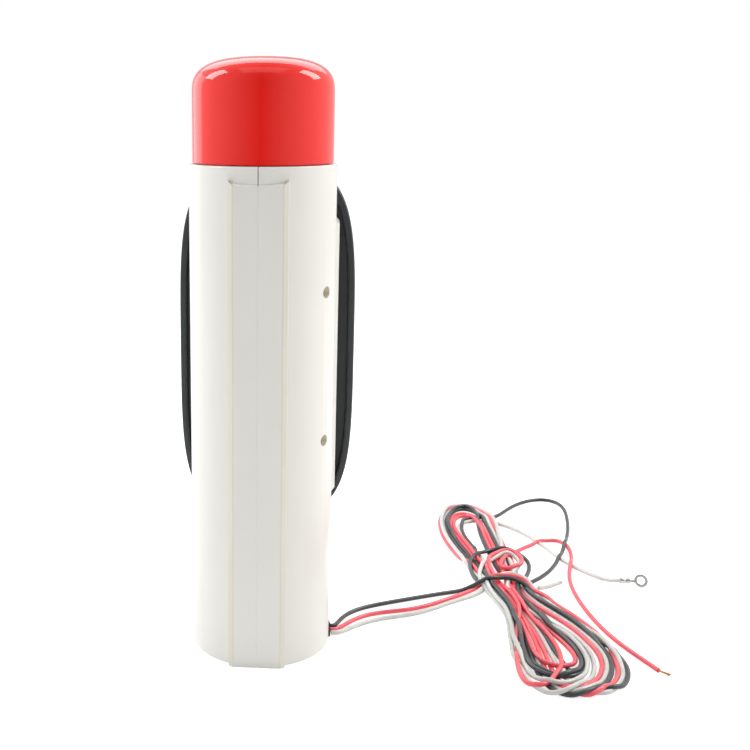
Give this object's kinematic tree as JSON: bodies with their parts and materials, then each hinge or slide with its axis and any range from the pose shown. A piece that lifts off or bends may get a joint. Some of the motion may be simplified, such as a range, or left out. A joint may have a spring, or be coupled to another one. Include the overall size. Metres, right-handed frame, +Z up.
{
  "type": "emergency position beacon",
  "caption": "Upright emergency position beacon: split white cylindrical case with a rear mounting rail, red lift-off dome cap, black oval control cover and wound supply leads.",
  "frame": {"origin": "centre of the round bottom face of the case, on the surface that it stands on", "axes": "+Z up along the case axis towards the dome cap; +Y out of the rear mounting rail; -Y out of the control cover; leads leave the foot towards -X"},
  "size_m": [0.2329, 0.2475, 0.257],
  "materials": {
    "moulded_white": "moulded semi-gloss",
    "gloss_red": "glossy",
    "cover_black": "satin",
    "seal_rubber": "matt",
    "screw_steel": "satin",
    "clear_window": "clear",
    "test_yellow": "satin",
    "board_green": "solder mask",
    "chip_black": "matt",
    "tinned_metal": "tinned",
    "ceramic": "matt",
    "led_yellow": "glossy",
    "cell_sleeve": "shrink sleeve",
    "black_insulation": "soft plastic",
    "red_insulation": "soft plastic",
    "white_insulation": "soft plastic",
    "bare_copper": "bare strands"
  },
  "bodies": {
    "case": {"housing_right": "moulded_white", "housing_left": "moulded_white", "base_cover": "moulded_white", "top_deck": "moulded_white", "front_cover": "cover_black", "seam_seal": "seal_rubber", "base_o_ring": "seal_rubber", "cable_grommet": "seal_rubber", "cover_gasket": "seal_rubber", "antenna_sheath": "seal_rubber", "housing_screw_1": "screw_steel", "housing_screw_2": "screw_steel", "base_screw_1": "screw_steel", "base_screw_2": "screw_steel", "base_screw_3": "screw_steel", "deck_screw_1": "screw_steel", "deck_screw_2": "screw_steel", "deck_screw_3": "screw_steel", "cover_screw_1": "screw_steel", "cover_screw_2": "screw_steel", "cover_screw_3": "screw_steel", "cover_screw_4": "screw_steel", "board_screw_1": "screw_steel", "board_screw_2": "screw_steel", "guard_pin": "screw_steel", "battery_spring_1": "screw_steel", "battery_spring_2": "screw_steel", "strobe_lens": "clear_window", "status_window": "clear_window", "strobe_board": "board_green", "switch_board": "board_green", "main_board": "board_green", "sounder": "chip_black", "processor": "chip_black", "battery_cradle": "chip_black", "antenna_nut": "tinned_metal", "transmitter_can": "tinned_metal", "ring_terminal": "tinned_metal", "gnss_antenna": "ceramic", "lead_connector": "ceramic", "strobe_led": "led_yellow", "status_led": "led_yellow", "battery_cell_1": "cell_sleeve", "battery_cell_2": "cell_sleeve", "black_lead": "black_insulation", "black_tail": "black_insulation", "antenna_coax": "black_insulation", "inner_harness": "black_insulation", "red_lead": "red_insulation", "red_tail": "red_insulation", "lead_hank": "red_insulation", "white_lead": "white_insulation", "white_tail": "white_insulation", "spare_end": "white_insulation", "red_bare_end": "bare_copper"},
    "cap": {"red_cap": "gloss_red", "cap_o_ring": "seal_rubber"},
    "guard": {"switch_guard": "cover_black"},
    "activation": {"activation_button": "gloss_red"},
    "test": {"test_button": "test_yellow"}
  },
  "joints": [
    {"name": "cap_lift", "type": "slide", "parent": "case", "child": "cap", "axis": [0, 0, 1], "range_m": [0, 0.06]},
    {"name": "guard_hinge", "type": "hinge", "parent": "case", "child": "guard", "pos_m": [0, -0.0486, 0.18], "axis": [-1, 0, 0], "range_deg": [0, 120]},
    {"name": "activation_press", "type": "slide", "parent": "case", "child": "activation", "axis": [0, 1, 0], "range_m": [0, 0.002], "stiffness_N_per_m": 400},
    {"name": "test_press", "type": "slide", "parent": "case", "child": "test", "axis": [0, 1, 0], "range_m": [0, 0.0012], "stiffness_N_per_m": 400}
  ]
}
